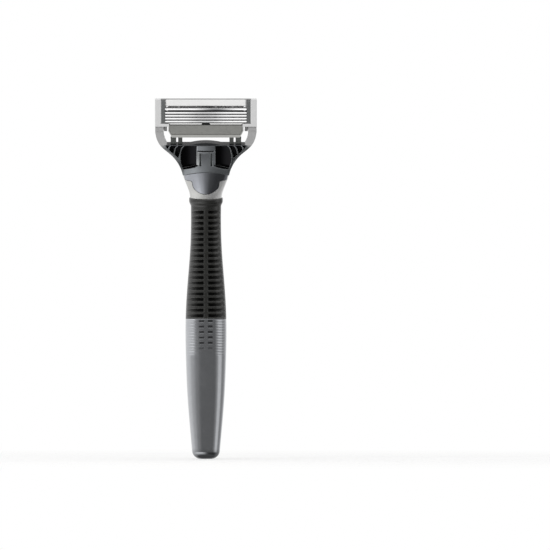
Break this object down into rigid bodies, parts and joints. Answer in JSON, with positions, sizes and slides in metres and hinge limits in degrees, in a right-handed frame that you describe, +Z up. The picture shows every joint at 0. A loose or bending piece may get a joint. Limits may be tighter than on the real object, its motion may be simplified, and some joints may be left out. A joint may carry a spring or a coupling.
{
  "type": "cartridge razor",
  "caption": "Hand razor: weighted handle with ribbed rubber grip, plated neck, thumb release and a push-on pivoting multi-blade cartridge.",
  "frame": {"origin": "centre of the small flat at the butt end of the handle", "axes": "+Z up the handle towards the head, -Y towards the shaving side, +X across the head"},
  "size_m": [0.0418, 0.0228, 0.1477],
  "materials": {
    "plated_shell": "dark satin plating",
    "core_steel": "turned",
    "core_plastic": "moulded",
    "grip_rubber": "matt, ribbed",
    "plated_neck": "satin plated",
    "button_gloss": "glossy",
    "spring_steel": "drawn wire",
    "nose_grey": "semi-gloss",
    "yoke_gloss": "glossy",
    "arm_grey": "satin",
    "link_rubber": "matt",
    "frame_light": "satin light grey",
    "housing_dark": "moulded",
    "retainer_metal": "dark satin",
    "polished_plate": "polished",
    "guard_rubber": "soft satin",
    "strip_pale": "smooth, waxy",
    "blade_steel": "ground bright",
    "support_steel": "rolled"
  },
  "bodies": {
    "handle": {"handle_shell": "plated_shell", "core_rod": "core_steel", "grip_core": "core_plastic", "rubber_grip": "grip_rubber", "neck_pin": "core_steel", "neck": "plated_neck", "docking_nose": "nose_grey", "nose_pin": "core_steel", "button_spring": "spring_steel"},
    "button": {"release_button": "button_gloss", "button_slider": "core_plastic"},
    "cartridge": {"yoke_body": "yoke_gloss", "yoke_arm_right": "arm_grey", "yoke_arm_left": "arm_grey", "flex_link_right": "link_rubber", "flex_link_left": "link_rubber"},
    "blade_unit": {"outer_frame": "frame_light", "blade_housing": "housing_dark", "blade_retainer_right": "retainer_metal", "blade_retainer_left": "retainer_metal", "lead_in_plate": "polished_plate", "guard_strip": "guard_rubber", "lubricating_strip": "strip_pale", "trimmer_cover": "housing_dark", "trimmer_blade": "blade_steel", "blade_1": "blade_steel", "blade_support_1": "support_steel", "blade_2": "blade_steel", "blade_support_2": "support_steel", "blade_3": "blade_steel", "blade_support_3": "support_steel", "blade_4": "blade_steel", "blade_support_4": "support_steel", "blade_5": "blade_steel", "blade_support_5": "support_steel"}
  },
  "joints": [
    {"name": "release_button_slide", "type": "slide", "parent": "handle", "child": "button", "axis": [0, -0.309, 0.9511], "range_m": [0, 0.002], "deforming": ["button_spring"]},
    {"name": "cartridge_lift_off", "type": "slide", "parent": "handle", "child": "cartridge", "axis": [0, -0.309, 0.9511], "range_m": [0, 0.016]},
    {"name": "blade_unit_pivot", "type": "hinge", "parent": "cartridge", "child": "blade_unit", "pos_m": [0, -0.0086, 0.1357], "axis": [-1, 0, 0], "range_deg": [0, 40], "stiffness_Nm_per_rad": 0.004, "deforming": ["flex_link_right", "flex_link_left"]}
  ],
  "couplings": [
    {"joint": "release_button_slide", "follows": "cartridge_lift_off", "ratio": 0.125}
  ]
}
